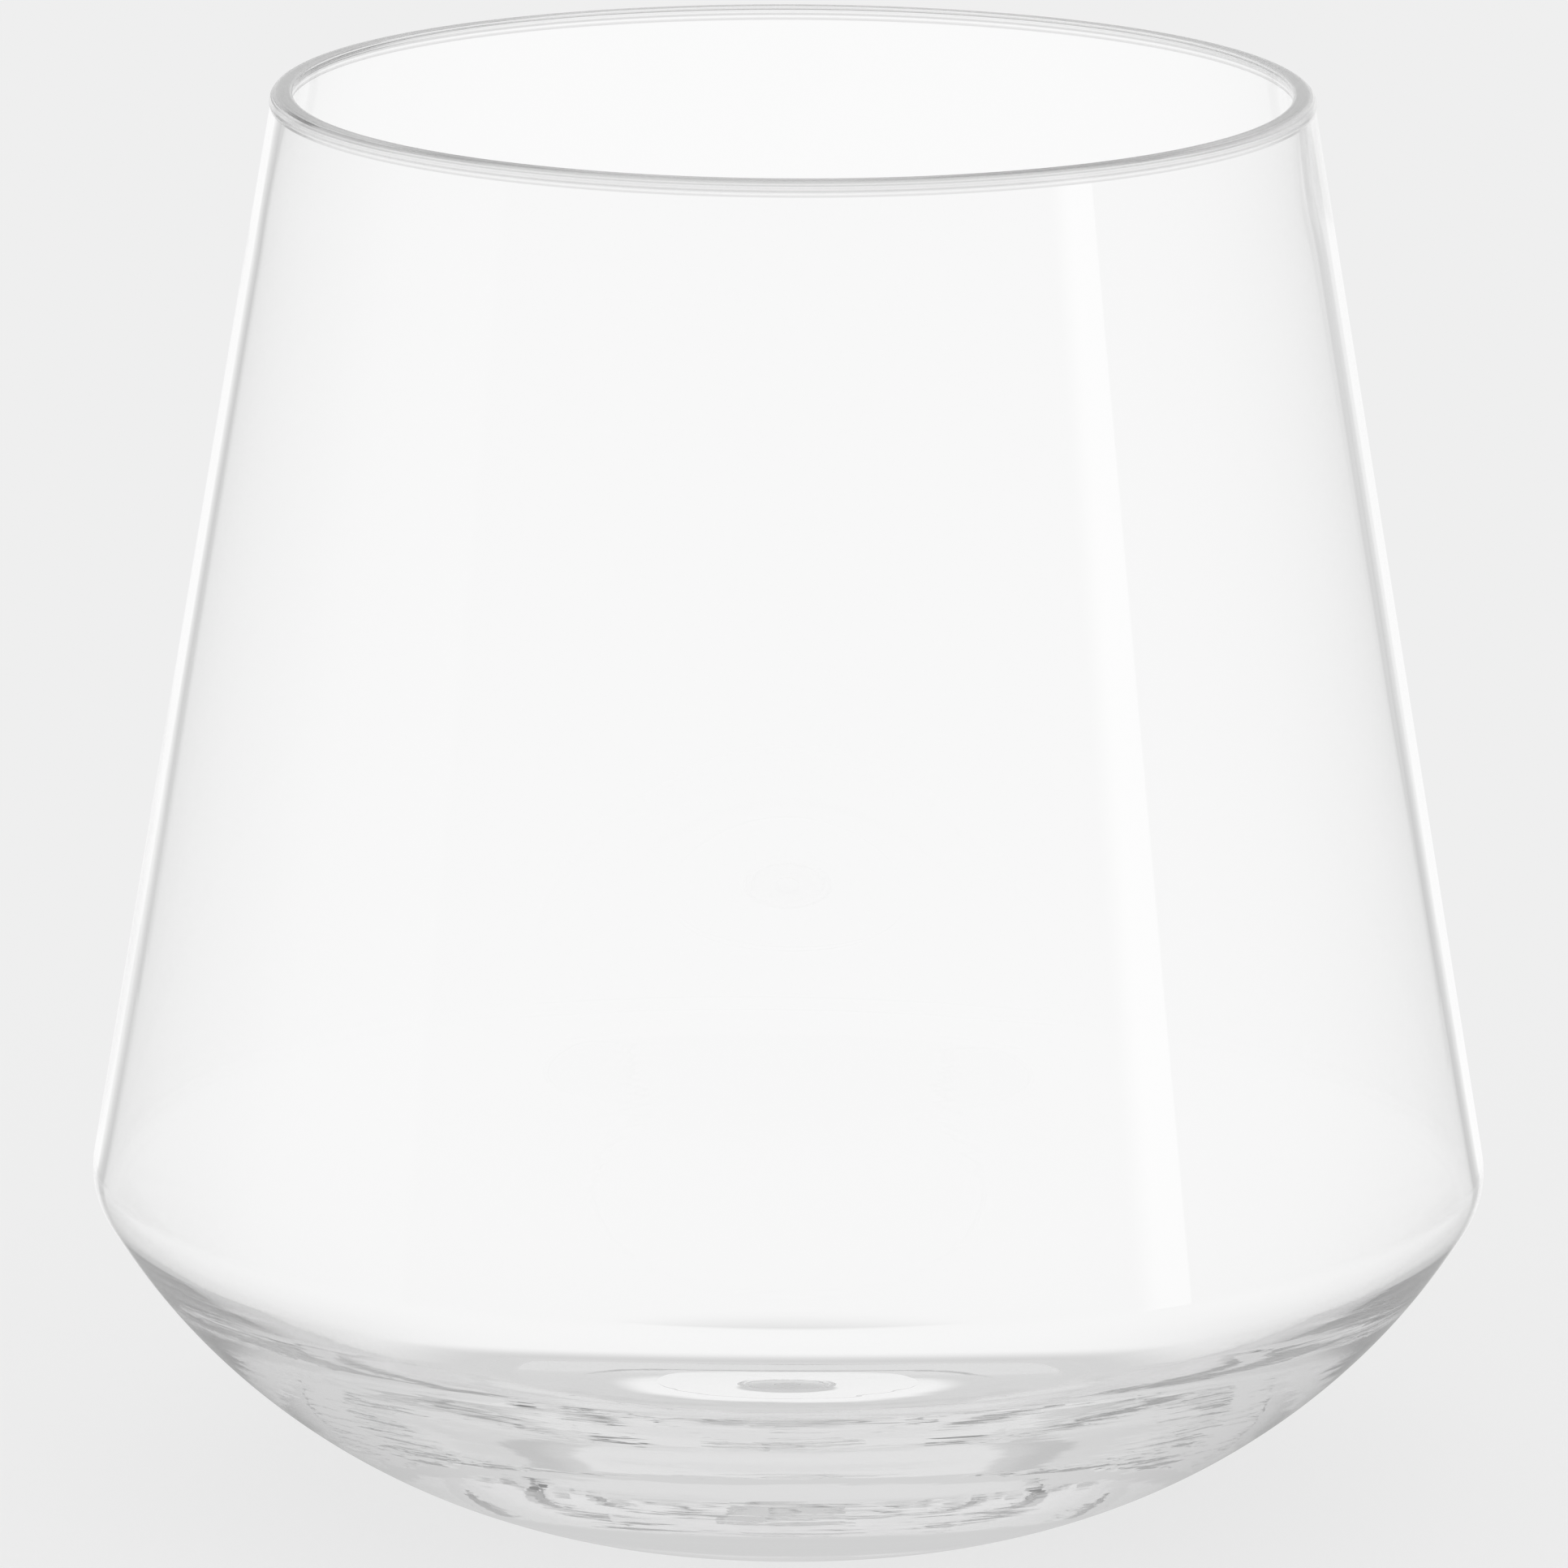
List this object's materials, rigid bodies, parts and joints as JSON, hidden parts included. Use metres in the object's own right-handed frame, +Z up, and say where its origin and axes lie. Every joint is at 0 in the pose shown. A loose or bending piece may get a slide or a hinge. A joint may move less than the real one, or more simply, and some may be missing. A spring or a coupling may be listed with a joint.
{
  "type": "stemless wine glass",
  "caption": "Clear moulded-plastic stemless wine glass, 102 mm tall and 100 mm wide, one piece with a cut rim.",
  "frame": {"origin": "centre of the ring that the glass stands on, on the table plane", "axes": "+Z up along the glass's axis, towards the open rim; X and Y are alike, the glass is a body of revolution"},
  "size_m": [0.1, 0.1, 0.1016],
  "materials": {
    "clear_plastic": "polished, clear"
  },
  "bodies": {
    "root": {"glass_body": "clear_plastic"}
  },
  "joints": []
}
